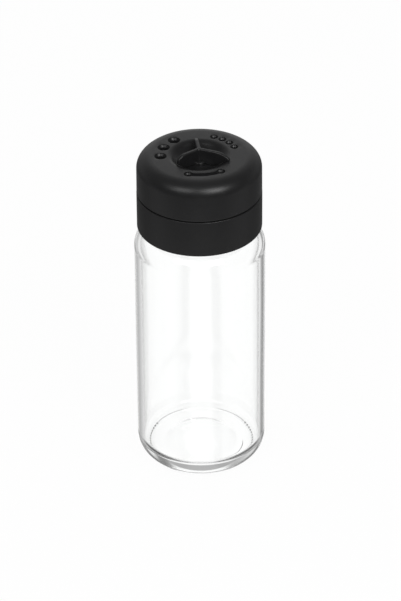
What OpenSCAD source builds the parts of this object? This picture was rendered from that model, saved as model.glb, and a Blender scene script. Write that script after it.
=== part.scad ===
// Restaurant spice shaker: a glass jar with a screw-on black dispenser cap. A three-winged knob in a
// dish on top turns a shutter below, which opens small holes, large holes or a pouring slot.
// Millimetres, +Z up, the origin on the axis where the jar stands.

/* [Jar] */
// Outer diameter of the jar
jar_d = 46; // [42:0.5:52]
// Height of the jar up to its sealing rim
jar_h = 105; // [80:0.5:150]
// Thickness of the jar's side wall
jar_wall = 2.2; // [1.8:0.1:3]
// Thickness of the glass at the middle of the base
base_t = 5.6; // [3:0.1:7]
// Height of the push-up under the base
push_up = 1.6; // [0.8:0.1:2.4]
// Radial size of the rounded heel
heel_w = 7; // [4:0.25:8]
// Height of the rounded heel
heel_h = 8.25; // [5:0.25:10]
// Radial size of the rounding between the inside of the wall and the floor
inner_heel_w = 2.8; // [2:0.1:4]
// Height of that rounding
inner_heel_h = 3.5; // [2.5:0.1:5]
// Width of the flat ring that the jar stands on
bearing_w = 2.6; // [1.5:0.1:4]
// Radius of the rounded shoulder
shoulder_r = 8.5; // [7:0.25:10]

/* [Neck and thread] */
// Outer diameter of the neck, without its thread
neck_d = 36; // [34:0.5:36.5]
// Thickness of the neck's wall
neck_wall = 2.2; // [1.8:0.1:2.8]
// Height of the straight neck, from the shoulder to the rim
neck_h = 11.25; // [10.5:0.25:14]
// Rise of the screw thread in one turn
thread_pitch = 4; // [3.5:0.1:4.4]
// How far the jar's thread stands out of its neck
thread_depth = 1.2; // [0.8:0.1:1.3]
// Height of the middle of the jar's thread at its lower end, above the shoulder
thread_start = 3.15; // [3:0.05:3.4]

/* [Screw collar] */
// Outer diameter of the collar
collar_d = 43.7; // [43:0.1:45]
// Gap between the jar's shoulder edge and the collar's lower edge
skirt_gap = 0.65; // [0.5:0.05:1.5]
// Thickness of the sealing liner
liner_t = 1.2; // [0.6:0.1:1.5]
// Thickness of the collar's deck over the rim
deck_t = 1.5; // [1.2:0.1:2.5]
// Diameter of the opening in the deck and the liner
throat_d = 30.4; // [28:0.2:31]
// Height of the ring that holds the dispenser cap
spigot_h = 4.3; // [3.5:0.1:5]
// Thickness of that ring
spigot_t = 2.4; // [1.6:0.1:2.6]

/* [Dispenser cap] */
// Outer diameter of the cap at the seam
cap_d = 43.6; // [42.8:0.1:44]
// Height of the cap from the seam to its flat top
cap_h = 14; // [13:0.1:18]
// How much the cap's side narrows towards the top, on the radius
cap_draft = 0.05; // [0:0.05:0.5]
// Thickness of the cap's side wall and top plate
cap_wall = 1.6; // [1.4:0.1:2]
// Width of the rounded top edge
edge_w = 5.5; // [5:0.1:6.8]
// Height of the rounded top edge
edge_h = 4.8; // [4:0.1:6]

/* [Finger dish] */
// Diameter of the dish where its lip meets the flat top
dish_d = 22.6; // [21:0.2:22.8]
// Depth of the dish
dish_depth = 2.8; // [2.4:0.1:3]
// Radius of the dish's rounded lip
dish_lip = 3; // [2.5:0.1:3.2]
// Steepest slope of the dish's side, in degrees
dish_slope = 52; // [48:1:55]

/* [Holes] */
// Radius of the circle that the holes and the slot lie on
hole_ring_r = 13.3; // [13:0.05:13.4]
// Bore diameter of the large holes
large_d = 3.6; // [3:0.1:3.7]
// Angle of the first large hole, in degrees
large_from = 130.5; // [128:0.5:131]
// Angle between the large holes, in degrees
large_step = 26.25; // [25:0.25:27]
// Number of large holes
large_n = 3; // [1:1:3]
// Bore diameter of the small holes
small_d = 2.2; // [1.6:0.1:2.4]
// Angle of the first small hole, in degrees
small_from = 23.5; // [23.5:0.1:25]
// Angle between the small holes, in degrees
small_step = 14.4; // [13:0.1:14.5]
// Number of small holes
small_n = 4; // [1:1:4]
// Angle of the middle of the pouring slot, in degrees
slot_at = -81.3; // [-83:0.1:-80]
// Half the angle between the centres of the slot's round ends, in degrees
slot_half = 24.8; // [20:0.1:26.5]
// Width of the slot between its round ends
slot_w = 1.9; // [1.6:0.1:2.6]
// Diameter of the slot's round ends
slot_end_d = 2.7; // [2.6:0.1:3.4]
// Width of the bevel round every hole and the slot
bevel = 0.3; // [0.1:0.05:0.4]

/* [Shutter] */
// Diameter of the shutter
shutter_d = 32.8; // [32.4:0.1:33]
// Thickness of the shutter
shutter_t = 1.4; // [1.2:0.1:1.8]
// Thickness of the shutter's soft seal
seal_t = 0.8; // [0.6:0.1:1]
// Width of the shutter's window between its round ends
window_w = 3.7; // [3.5:0.05:3.8]
// Diameter of the window's round ends
window_end_d = 4; // [3.9:0.05:4.2]
// Half the angle between the centres of the window's round ends, in degrees
window_half = 23.5; // [18:0.5:24]
// Angle of the middle of the window when the shaker is shut, in degrees
window_at = -15; // [-16:0.1:-14]

/* [Knob] */
// Thickness of each wing
wing_t = 1.4; // [1.2:0.1:2]
// Height of the wings above the flat top
wing_rise = 2.7; // [2:0.1:3.5]
// Radius at which the two short wings end
wing_tip = 9.4; // [9.2:0.1:9.8]
// Radius at which the long wing, the pointer, ends
pointer_tip = 11.5; // [10.5:0.1:11.6]
// Radius out to which the crest of the short wings stays level
crest_flat = 5.5; // [4:0.25:7]
// Radius out to which the crest of the pointer stays level
pointer_flat = 6; // [4:0.25:8]
// How far past each wing's end the rounding of its crest would end
crest_run = 0.9; // [0.7:0.1:1.5]
// How far below the flat top the rounding of the crest would end
crest_drop = 1.5; // [0.5:0.1:2]
// Angle of the first of the three wings, in degrees
wing_at = 97.5; // [90:0.5:102]
// Diameter of the knob's stem
stem_d = 5.2; // [4.6:0.1:6]
// Height of the hub that the stem passes through below the shutter
hub_h = 2.4; // [2:0.1:3]
// Wall of the hub round the stem
hub_wall = 1.9; // [1.4:0.1:2.4]
// Height of the round boss at the foot of the wings, over the dish's floor
boss_h = 1; // [0.6:0.1:1.6]
// Step from the round stem to its hexagonal key
key_step = 0.2; // [0.1:0.05:0.4]
// Thickness of the clip that holds the stem
clip_t = 1; // [0.8:0.1:1.4]
// Depth of the groove that the clip grips
clip_groove = 0.4; // [0.2:0.05:0.5]
// How far the clip stays inside the hub's outer edge
clip_inset = 0.4; // [0.2:0.1:0.8]
// Height of the flared tip of the stem below the clip
tip_h = 0.8; // [0.5:0.1:1.2]

/* [Fits] */
// Radial clearance of the stem in the cap's bore
stem_play = 0.08; // [0.04:0.01:0.1]
// Clearance between the two screw threads
thread_play = 0.3; // [0.3:0.05:0.4]
// Clearance between the cap and the ring that holds it
spigot_play = 0.1; // [0.05:0.05:0.2]
// Clearance between parts that turn over each other
run_gap = 0.3; // [0.25:0.05:0.4]
// Clearance of parts that are pushed together
push_gap = 0.05; // [0.03:0.01:0.08]

/* [Hidden] */
$fn = 96;
FULL_TURN = 360;
HALF_TURN = 180;
QUARTER = 90;
ARC_STEPS = 12;
WINGS = 3;
POINTER = 2;
KEY_SIDES = 6;
CUT = 1;
OPEN = 0.01;
GLASS = [0.82, 0.9, 0.92, 0.35];
BLACK = [0.13, 0.13, 0.14];
SEAL_GREY = [0.35, 0.35, 0.37];
LINER_WHITE = [0.9, 0.9, 0.88];
STEEL = [0.7, 0.71, 0.73];

// Jar
jar_r = jar_d / 2;
neck_r = neck_d / 2;
mouth_r = neck_r - neck_wall;
shoulder_z = jar_h - neck_h - arc_rise(shoulder_r, jar_r - neck_r);
inner_shoulder_r = shoulder_r - jar_wall;
bearing_r = jar_r - heel_w;
push_r = bearing_r - bearing_w;
floor_r = jar_r - jar_wall - inner_heel_w;
rim_round = 0.5;

// Thread
thread_turns = 1.5;
collar_turns = 1;
thread_r = neck_r + thread_depth;
thread_z = jar_h - neck_h + thread_start;
thread_root_w = 0.55 * thread_pitch;
thread_crest_w = 0.25 * thread_pitch;
thread_bite = 0.4;
thread_steps = 36;
thread_fade = 5;

// Collar
skirt_r = thread_r + thread_play;
collar_r = collar_d / 2;
collar_z = jar_h - neck_h + skirt_gap;
deck_z = jar_h + liner_t;
deck_top_z = deck_z + deck_t;
seam_step = 0.5;
seam_z = deck_top_z + seam_step;
seam_round = 0.35;
throat_r = throat_d / 2;
liner_r = neck_r + thread_depth / 2;

// Cap
cap_r = cap_d / 2;
cap_top_r = cap_r - cap_draft;
cap_bore_r = cap_r - cap_wall - cap_draft;
plate_z = seam_z + cap_h;
plate_low_z = plate_z - cap_wall;
spigot_r = cap_bore_r - spigot_play;
spigot_top_z = seam_z + spigot_h;
bead_r = 0.35;
bead_z = seam_z + spigot_h / 2;
dish_r = dish_d / 2;
bowl_r = dish_depth / (1 - cos(dish_slope)) - dish_lip;
bowl_x = dish_r - (dish_lip + bowl_r) * sin(dish_slope);
bowl_z = plate_z - dish_lip + (dish_lip + bowl_r) * cos(dish_slope);
guide_w = 1.2;
guide_r = shutter_d / 2 + run_gap;
guide_z = plate_low_z - run_gap - seal_t - shutter_t;

// Shutter, seal, knob and clip
seal_z = plate_low_z - run_gap;
shutter_top_z = seal_z - seal_t;
shutter_depth = cap_wall + run_gap;
seal_lip = 0.4;
seal_in_r = bowl_reach(shutter_depth, shutter_top_z) + seal_lip;
stem_r = stem_d / 2;
key_r = stem_r - key_step;
hub_r = stem_r + hub_wall;
hub_top_z = plate_z - dish_depth - shutter_depth;
hub_low_z = hub_top_z - shutter_t - hub_h;
clip_r = hub_r - clip_inset;
tip_r = key_r - clip_groove;
stem_low_z = hub_low_z - clip_t - tip_h;

// A list from its last item to its first
function backwards(list) = [for (i = [len(list) - 1 : -1 : 0]) list[i]];

// Points of a shallow dome from the axis outwards: it stands rise over z at the axis and ends at radius w
function dome(w, rise, z) =
    let (r = (pow(w, 2) + pow(rise, 2)) / (2 * rise)) arc(0, z + rise - r, r, r, QUARTER, acos(w / r));

// Height that an arc of radius r gains while it moves inwards by w from its widest point
function arc_rise(r, w) = sqrt(pow(r, 2) - pow(r - w, 2));

// Points of an arc about [x, z] with its two half axes, from angle a to angle b
function arc(x, z, rx, rz, a, b) =
    [for (i = [0 : ARC_STEPS]) let (t = a + (b - a) * i / ARC_STEPS) [x + rx * cos(t), z + rz * sin(t)]];

// Angle at which an arc of radius r about x = c reaches the radius x
function arc_angle(c, r, x) = acos((x - c) / r);

// Section of the dish from the axis outwards to its lip, lowered by depth along its normal
function dish_curve(depth) =
    let (lip = dish_lip - depth, bowl = bowl_r + depth)
    concat([[0, bowl_z - bowl]],
           arc(bowl_x, bowl_z, bowl, bowl, -QUARTER, dish_slope - QUARTER),
           arc(dish_r, plate_z - dish_lip, lip, lip, QUARTER + dish_slope, QUARTER));

// Radius at which the dish's bowl, lowered by depth, reaches the height z
function bowl_reach(depth, z) = bowl_x + sqrt(pow(bowl_r + depth, 2) - pow(bowl_z - z, 2));

// Section of the bowl alone, lowered by depth, from the axis up to the height z
function bowl_curve(depth, z) =
    let (bowl = bowl_r + depth)
    concat([[0, bowl_z - bowl]], arc(bowl_x, bowl_z, bowl, bowl, -QUARTER, asin((z - bowl_z) / bowl)));

// One ridge of a screw thread: turns of it from z, with its crest at crest_r and its root at root_r
module thread_ridge(turns, z, root_r, crest_r) {
    steps = thread_steps * turns;
    function height(i) = min(1, i / thread_fade, (steps - i) / thread_fade);
    function ring(i) =
        let (a = FULL_TURN * i / thread_steps, mid = z + thread_pitch * i / thread_steps,
             reach = max(height(i), OPEN), tip = root_r + (crest_r - root_r) * reach,
             half = (thread_root_w + (thread_crest_w - thread_root_w) * reach) / 2)
        [for (p = [[root_r, -thread_root_w / 2], [tip, -half], [tip, half], [root_r, thread_root_w / 2]])
            [p[0] * cos(a), p[0] * sin(a), mid + p[1]]];
    points = [for (i = [0 : steps]) each ring(i)];
    outward = crest_r > root_r;
    function turned(face) = outward ? face : backwards(face);
    sides = [for (i = [0 : steps - 1], k = [0 : 3]) let (n = (k + 1) % 4)
        each [turned([4 * i + k, 4 * i + n, 4 * i + 4 + n]),
              turned([4 * i + k, 4 * i + 4 + n, 4 * i + 4 + k])]];
    ends = [turned([3, 2, 1, 0]), turned([for (k = [0 : 3]) 4 * steps + k])];
    polyhedron(points = points, faces = concat(sides, ends));
}

// A flat arc-shaped opening about the axis, with round ends
module arc_slot(r, w, end_d, at, half) {
    reach = 2 * r;
    wedge = [for (i = [-4 : 4]) reach * [cos(at + half * i / 4), sin(at + half * i / 4)]];
    intersection() {
        difference() {
            circle(r + w / 2);
            circle(r - w / 2);
        }
        polygon(concat([[0, 0]], wedge));
    }
    for (side = [-1, 1]) rotate(at + side * half) translate([r, 0]) circle(d = end_d);
}

// A flat ring between two radii, from z up by h
module ring(inner, outer, z, h) {
    translate([0, 0, z]) difference() {
        cylinder(r = outer, h = h);
        translate([0, 0, -CUT]) cylinder(r = inner, h = h + 2 * CUT);
    }
}

// A round hole through the top plate, with its bevel
module plate_hole(d) {
    translate([0, 0, plate_low_z - CUT]) cylinder(d = d, h = cap_wall + 2 * CUT);
    translate([0, 0, plate_z - bevel]) cylinder(d1 = d, d2 = d + 2 * bevel, h = bevel + OPEN);
}

// Glass jar: heel, straight side, shoulder, neck, rim, hollow and push-up in one section
module glass_jar() {
    heel = arc(bearing_r, heel_h, heel_w, heel_h, -QUARTER, 0);
    shoulder = arc(jar_r - shoulder_r, shoulder_z, shoulder_r, shoulder_r, 0,
                   arc_angle(jar_r - shoulder_r, shoulder_r, neck_r));
    rim = concat(arc(neck_r - rim_round, jar_h - rim_round, rim_round, rim_round, 0, QUARTER),
                 arc(mouth_r + rim_round, jar_h - rim_round, rim_round, rim_round, QUARTER, HALF_TURN));
    inner_shoulder = arc(jar_r - shoulder_r, shoulder_z, inner_shoulder_r, inner_shoulder_r,
                         arc_angle(jar_r - shoulder_r, inner_shoulder_r, mouth_r), 0);
    inner_heel = arc(floor_r, base_t + inner_heel_h, inner_heel_w, inner_heel_h, 0, -QUARTER);
    color(GLASS) {
        rotate_extrude() polygon(concat(dome(push_r, push_up, 0), heel, shoulder, rim, inner_shoulder,
                                        inner_heel, backwards(dome(floor_r, push_up, base_t))));
        thread_ridge(thread_turns, thread_z, neck_r - thread_bite, thread_r);
    }
}

// Sealing liner between the rim and the collar's deck
module jar_liner() {
    color(LINER_WHITE) ring(throat_r, liner_r, jar_h, liner_t);
}

// Screw collar: threaded skirt, deck with its throat, and the ring that holds the cap
module screw_collar() {
    edge = arc(collar_r - seam_round, collar_z + seam_round, seam_round, seam_round, -QUARTER, 0);
    seam = arc(collar_r - seam_round, seam_z - seam_round, seam_round, seam_round, 0, QUARTER);
    bead = arc(spigot_r, bead_z, bead_r, bead_r, -QUARTER, QUARTER);
    spigot_in_r = spigot_r - spigot_t;
    deck = [[spigot_in_r, deck_top_z], [throat_r, deck_top_z], [throat_r, deck_z], [skirt_r, deck_z]];
    color(BLACK) {
        rotate_extrude() polygon(concat([[skirt_r, collar_z]], edge, seam, [[spigot_r, seam_z]], bead,
            [[spigot_r, spigot_top_z], [spigot_in_r, spigot_top_z]], deck));
        translate([0, 0, thread_z]) rotate(HALF_TURN)
            thread_ridge(collar_turns, 0, skirt_r + thread_bite, neck_r + thread_play);
    }
}

// Dispenser cap: domed shell with the finger dish, the holes, the slot and the stem's bore
module dispenser_cap() {
    foot = arc(cap_r - seam_round, seam_z + seam_round, seam_round, seam_round, -QUARTER, 0);
    edge_r = cap_top_r - edge_w;
    edge_z = plate_z - edge_h;
    edge = arc(edge_r, edge_z, edge_w, edge_h, 0, QUARTER);
    inner_edge = arc(edge_r, edge_z, edge_w - cap_wall, edge_h - cap_wall, QUARTER, 0);
    top = dish_curve(0);
    under = dish_curve(cap_wall);
    groove_r = bead_r + spigot_play;
    groove = arc(cap_bore_r, bead_z, groove_r, groove_r, QUARTER, -QUARTER);
    color(BLACK) difference() {
        union() {
            rotate_extrude() polygon(concat(under, inner_edge, groove, [[cap_bore_r, seam_z]], foot, edge,
                                            backwards(top)));
            ring(guide_r, guide_r + guide_w, guide_z, plate_low_z - guide_z + OPEN);
        }
        translate([0, 0, plate_z - dish_depth - 2 * cap_wall])
            cylinder(r = stem_r + stem_play, h = dish_depth + 2 * cap_wall);
        for (i = [0 : large_n - 1]) rotate(large_from + i * large_step)
            translate([hole_ring_r, 0, 0]) plate_hole(large_d);
        for (i = [0 : small_n - 1]) rotate(small_from + i * small_step)
            translate([hole_ring_r, 0, 0]) plate_hole(small_d);
        translate([0, 0, plate_low_z - CUT]) linear_extrude(cap_wall + 2 * CUT)
            arc_slot(hole_ring_r, slot_w, slot_end_d, slot_at, slot_half);
        translate([0, 0, plate_z - bevel]) linear_extrude(bevel + CUT)
            arc_slot(hole_ring_r, slot_w + bevel, slot_end_d + bevel, slot_at, slot_half);
    }
}

// Soft seal on the shutter, which wipes the underside of the top plate
module shutter_seal() {
    color(SEAL_GREY) difference() {
        ring(seal_in_r, shutter_d / 2 - seal_lip, shutter_top_z, seal_t);
        translate([0, 0, shutter_top_z - CUT]) linear_extrude(seal_t + 2 * CUT)
            arc_slot(hole_ring_r, window_w, window_end_d, window_at, window_half);
    }
}

// Shutter: a disc nested under the dish, with one arc-shaped window and a keyed hub
module shutter_disc() {
    flange_low_z = shutter_top_z - shutter_t;
    top = bowl_curve(shutter_depth, shutter_top_z);
    low = bowl_curve(shutter_depth + shutter_t, flange_low_z);
    color(BLACK) difference() {
        union() {
            rotate_extrude() polygon(concat(top,
                [[shutter_d / 2, shutter_top_z], [shutter_d / 2, flange_low_z]], backwards(low)));
            translate([0, 0, hub_low_z]) cylinder(r = hub_r, h = hub_h + shutter_t / 2);
        }
        translate([0, 0, hub_low_z - CUT])
            cylinder(r = key_r + push_gap, h = hub_h + shutter_t + 2 * CUT, $fn = KEY_SIDES);
        translate([0, 0, flange_low_z - CUT]) linear_extrude(shutter_t + 2 * CUT)
            arc_slot(hole_ring_r, window_w, window_end_d, window_at, window_half);
    }
}

// Height of the dish's lip, raised by the running gap, at the radius r
function lip_rise(r) =
    plate_z - dish_lip + sqrt(pow(dish_lip + run_gap, 2) - pow(max(dish_r - r, 0), 2));

// Section of one wing, which ends bluntly at the radius tip and whose crest is level up to the radius flat
function wing_section(tip, flat) =
    let (run = tip + crest_run - flat, rise = wing_rise + crest_drop, low = plate_z - crest_drop,
         crest = arc(flat, low, run, rise, 0, QUARTER))
    concat([for (p = dish_curve(-run_gap)) if (p[0] < tip - OPEN) p],
           [[tip, lip_rise(tip)], [tip, low + rise * sqrt(1 - pow((tip - flat) / run, 2))]],
           [for (p = crest) if (p[0] < tip - OPEN) p], [[0, plate_z + wing_rise]]);

// Selector knob: two short wings and a pointer over the dish, a round stem and a hexagonal key below them
module selector_knob() {
    boss_z = plate_z - dish_depth + boss_h;
    color(BLACK) {
        for (i = [0 : WINGS - 1]) rotate(wing_at + i * FULL_TURN / WINGS)
            translate([0, wing_t / 2, 0]) rotate([QUARTER, 0, 0]) linear_extrude(wing_t)
                polygon(i == POINTER ? wing_section(pointer_tip, pointer_flat)
                                     : wing_section(wing_tip, crest_flat));
        translate([0, 0, hub_top_z]) cylinder(r = stem_r, h = boss_z - hub_top_z);
        translate([0, 0, hub_low_z]) cylinder(r = key_r, h = hub_top_z - hub_low_z + OPEN, $fn = KEY_SIDES);
        translate([0, 0, stem_low_z]) cylinder(r = tip_r, h = hub_low_z - stem_low_z + OPEN);
        translate([0, 0, stem_low_z]) cylinder(r1 = tip_r, r2 = tip_r + clip_groove / 2, h = tip_h);
    }
}

// Clip that holds the shutter on the stem
module retainer_clip() {
    color(STEEL) ring(tip_r + push_gap, clip_r, hub_low_z - clip_t, clip_t);
}

glass_jar();
jar_liner();
screw_collar();
dispenser_cap();
shutter_seal();
shutter_disc();
selector_knob();
retainer_clip();
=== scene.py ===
"""Dresses a spice shaker: a clear glass jar with a satin black cap, whose winged knob turns a shutter."""
import logging
from dataclasses import dataclass, field
from enum import Enum
from functools import cache, reduce
from math import acos, asin, atan2, copysign, cos, degrees, hypot, pi, radians, sin, sqrt, tau

import bmesh
import bpy
from mathutils import Matrix, Vector


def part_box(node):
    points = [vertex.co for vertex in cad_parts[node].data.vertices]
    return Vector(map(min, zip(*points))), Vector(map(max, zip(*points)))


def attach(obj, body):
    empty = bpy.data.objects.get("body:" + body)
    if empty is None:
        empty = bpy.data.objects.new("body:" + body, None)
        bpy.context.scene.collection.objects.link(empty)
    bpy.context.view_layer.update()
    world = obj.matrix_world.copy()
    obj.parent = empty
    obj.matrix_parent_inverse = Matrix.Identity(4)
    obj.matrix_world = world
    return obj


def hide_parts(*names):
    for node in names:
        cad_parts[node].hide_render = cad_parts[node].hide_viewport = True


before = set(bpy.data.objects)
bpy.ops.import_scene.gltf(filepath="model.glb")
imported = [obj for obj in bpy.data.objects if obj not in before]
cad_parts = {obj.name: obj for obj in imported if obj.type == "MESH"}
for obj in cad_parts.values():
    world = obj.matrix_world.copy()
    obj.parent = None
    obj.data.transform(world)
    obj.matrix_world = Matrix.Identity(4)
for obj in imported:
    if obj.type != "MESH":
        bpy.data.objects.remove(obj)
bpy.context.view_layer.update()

log = logging.getLogger("spice_shaker")

MM = 0.001
POLE = 1e-6  # a radius under this is on the axis
MERGE = 1e-4  # points nearer than this, in millimetres, are one
SMOOTH = 40.0  # edges that bend by more degrees than this stay sharp
PAST = 1.0  # how far a cutter reaches past what it cuts
SCUFF_SCALE = 420.0
SCUFF_GAIN = 4.0  # the noises seldom stray from their middle by more than one part in this

Piece = bpy.types.Object
Socket = bpy.types.NodeSocket
Triple = tuple[float, float, float]
Point = tuple[float, float]
Section = list[Point]
Stops = tuple[Point, ...]
Inputs = dict[str | int, object]


class Body(Enum):
    """The rigid bodies that pieces ride on."""

    JAR = "jar"
    LINER = "liner"
    CAP = "cap"
    SELECTOR = "selector"


class Cut(Enum):
    """How a tool solid changes the solid that it meets."""

    REMOVE = "DIFFERENCE"
    ADD = "UNION"


# ---- Sections and meshes, in millimetres ----


def arc(centre: Point, radii: Point | float, start: float, end: float, steps: int = 16) -> Section:
    """Points of an elliptical arc.

    Args:
        centre: Centre of the ellipse.
        radii: Its two half axes, or its one radius.
        start: First angle, in degrees.
        end: Last angle, in degrees.
        steps: Number of pieces between them.

    Returns:
        The points from the first angle to the last.
    """
    wide, tall = radii if isinstance(radii, tuple) else (radii, radii)
    turns = [radians(start + (end - start) * i / steps) for i in range(steps + 1)]
    return [(centre[0] + wide * cos(t), centre[1] + tall * sin(t)) for t in turns]


def dome(width: float, rise: float, z: float, steps: int = 10) -> Section:
    """Points of a shallow dome, from the axis out to its width, with its edge at z and its middle higher by rise."""
    radius = (width ** 2 + rise ** 2) / (2 * rise)
    return arc((0, z + rise - radius), radius, 90, degrees(acos(width / radius)), steps)


def fillet(a: Point, corner: Point, b: Point, radius: float, steps: int = 6) -> Section:
    """Rounds the corner between two straight stretches of a section.

    Args:
        a: A point before the corner.
        corner: The corner.
        b: A point after it.
        radius: Radius of the rounding.
        steps: Number of pieces in it.

    Returns:
        The points that take the corner's place.
    """
    here = Vector(corner)
    one, two = (Vector(a) - here).normalized(), (Vector(b) - here).normalized()
    half = one.angle(two) / 2
    reach = radius / abs(sin(half) / cos(half))
    centre = here + (one + two).normalized() * radius / sin(half)
    first, last = here + one * reach - centre, here + two * reach - centre
    begin = atan2(first.y, first.x)
    sweep = (atan2(last.y, last.x) - begin + pi) % tau - pi
    return arc(tuple(centre), radius, degrees(begin), degrees(begin + sweep), steps)


def ring_section(inner: float, outer: float, low: float, high: float, edge: float) -> Section:
    """Section of a flat ring with rounded edges.

    Args:
        inner: Radius of its hole.
        outer: Its outer radius.
        low: Height of its underside.
        high: Height of its top.
        edge: Radius of its edges.

    Returns:
        The points.
    """
    corners = ((inner + edge, low + edge, 180), (outer - edge, low + edge, 270),
               (outer - edge, high - edge, 0), (inner + edge, high - edge, 90))
    return [point for x, z, turn in corners for point in arc((x, z), edge, turn, turn + 90, 4)]


def place_object(name: str, data: bpy.types.ID) -> Piece:
    """Makes an object and links it to the scene.

    Args:
        name: Name of the object.
        data: Its mesh, camera or lamp.

    Returns:
        The object.
    """
    item = bpy.data.objects.new(name, data)
    bpy.context.scene.collection.objects.link(item)
    return item


def link(name: str, mesh: bmesh.types.BMesh, sharp: float = SMOOTH) -> Piece:
    """Makes a closed, smooth shaded object of a mesh that is in millimetres.

    Args:
        name: Name of the piece.
        mesh: Its mesh, which is used up.
        sharp: Edges that bend by more degrees than this stay sharp.

    Returns:
        The new object, in metres, at the origin.
    """
    bmesh.ops.remove_doubles(mesh, verts=mesh.verts, dist=MERGE)
    bmesh.ops.recalc_face_normals(mesh, faces=mesh.faces)
    bmesh.ops.scale(mesh, verts=mesh.verts, vec=Vector((MM, MM, MM)))
    data = bpy.data.meshes.new(name)
    mesh.to_mesh(data)
    mesh.free()
    data.shade_smooth()
    data.set_sharp_from_angle(angle=radians(sharp))
    return place_object(name, data)


def skin(mesh: bmesh.types.BMesh, rings: list[list[bmesh.types.BMVert]], count: int, closed: bool = False) -> None:
    """Spans faces between rings of as many points each.

    Args:
        mesh: The mesh that gets the faces.
        rings: The rings, in order. A pole is one point, repeated.
        count: Number of points that are joined in each ring.
        closed: Whether the last ring joins the first.
    """
    for low, high in zip(rings, rings[1:] + rings[:closed]):
        for i in range(count):
            k = (i + 1) % count
            corners = list(dict.fromkeys((low[i], low[k], high[k], high[i])))
            if len(corners) > 2:
                mesh.faces.new(corners)


def revolve(name: str, section: Section, segments: int = 192) -> Piece:
    """Turns a closed section round the Z axis.

    Args:
        name: Name of the piece.
        section: Points as radius and height. Points on the axis become poles.
        segments: Number of steps round the axis.

    Returns:
        The closed solid.
    """
    mesh = bmesh.new()
    turns = [tau * i / segments for i in range(segments)]
    rings = [[mesh.verts.new((0, 0, z))] * segments if radius < POLE else
             [mesh.verts.new((radius * cos(t), radius * sin(t), z)) for t in turns] for radius, z in section]
    skin(mesh, rings, segments, closed=True)
    return link(name, mesh)


def stack(name: str, loops: list[list[Vector]], lids: list[tuple[int, ...]] | None = None,
          sharp: float = SMOOTH) -> Piece:
    """Joins closed loops of as many points each into a solid.

    Args:
        name: Name of the piece.
        loops: The loops from the lowest to the highest. With lids, each ends with a hub point.
        lids: Faces that close the lowest and the highest loop, as numbers of their points.
        sharp: Edges that bend by more degrees than this stay sharp.

    Returns:
        The closed solid.
    """
    mesh = bmesh.new()
    rings = [[mesh.verts.new(p) for p in loop] for loop in loops]
    count = len(rings[0]) - bool(lids)
    skin(mesh, rings, count)
    for ring in (rings[0], rings[-1]):
        for lid in lids or [tuple(range(count))]:
            mesh.faces.new([ring[i] for i in lid])
    for loose in [v for v in mesh.verts if not v.link_faces]:
        mesh.verts.remove(loose)
    return link(name, mesh, sharp)


def settle(piece: Piece, step: bpy.types.Modifier) -> None:
    """Keeps what a modifier gives as a piece's plain mesh, and removes the modifier.

    Args:
        piece: The piece that changes.
        step: Its modifier.
    """
    result = bpy.data.meshes.new_from_object(piece.evaluated_get(bpy.context.evaluated_depsgraph_get()))
    piece.modifiers.remove(step)
    old, piece.data = piece.data, result
    bpy.data.meshes.remove(old)
    piece.data.name = piece.name


def combine(piece: Piece, tools: list[Piece], how: Cut, sharp: float = SMOOTH) -> None:
    """Cuts tool solids out of a piece, or adds them to it, and keeps the result as its mesh.

    Args:
        piece: The piece that changes.
        tools: The solids that meet it, which are used up.
        how: Whether they are removed or added.
        sharp: Edges that bend by more degrees than this stay sharp.
    """
    for tool in tools:
        step = piece.modifiers.new("combine", "BOOLEAN")
        step.operation = how.value
        step.solver = "EXACT"
        step.object = tool
        settle(piece, step)
        bpy.data.objects.remove(tool)
    piece.data.shade_smooth()
    piece.data.set_sharp_from_angle(angle=radians(sharp))


def apply_nodes(piece: Piece, group: bpy.types.NodeTree, values: dict[str, object]) -> None:
    """Runs geometry nodes on a piece once and keeps the plain mesh that they give.

    Args:
        piece: The piece that changes.
        group: The geometry nodes.
        values: Their inputs, by name.
    """
    step = piece.modifiers.new(group.name, "NODES")
    step.node_group = group
    for item in group.interface.items_tree:
        if item.in_out == "INPUT" and item.name in values:
            step[item.identifier] = values[item.name]
    piece.update_tag()
    settle(piece, step)


@cache
def node_mm(node: str) -> tuple[Vector, Vector]:
    """Lowest and highest corner of a node, in millimetres."""
    low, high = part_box(node)
    return low / MM, high / MM


def plate_mm() -> float:
    """Height of the cap's top plate, in millimetres."""
    return node_mm("dispenser_cap")[1].z


@dataclass(frozen=True)
class HoleEdge:
    """How an opening narrows below the plate: an upright rim, a cone and the bore, as seen from above."""

    rim: float
    deep: float
    narrow: float
    lip: float = 0.1

    def profile(self, low: float, top: float) -> Section:
        """The edge's profile.

        Args:
            low: Height where the cut starts.
            top: Height of the plate.

        Returns:
            The growth from the opening at the plate and the height, from the lowest to the highest point.
        """
        waist, foot = (0.0, top - self.rim), (-self.narrow, top - self.rim - self.deep)
        return [(-self.narrow, low), *fillet((-self.narrow, low), foot, waist, self.lip, 3),
                *fillet(foot, waist, (0, top), self.lip, 3), *fillet(waist, (0, top), (1, top), self.lip, 4),
                (self.lip + 0.3, top + 0.5)]


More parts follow.
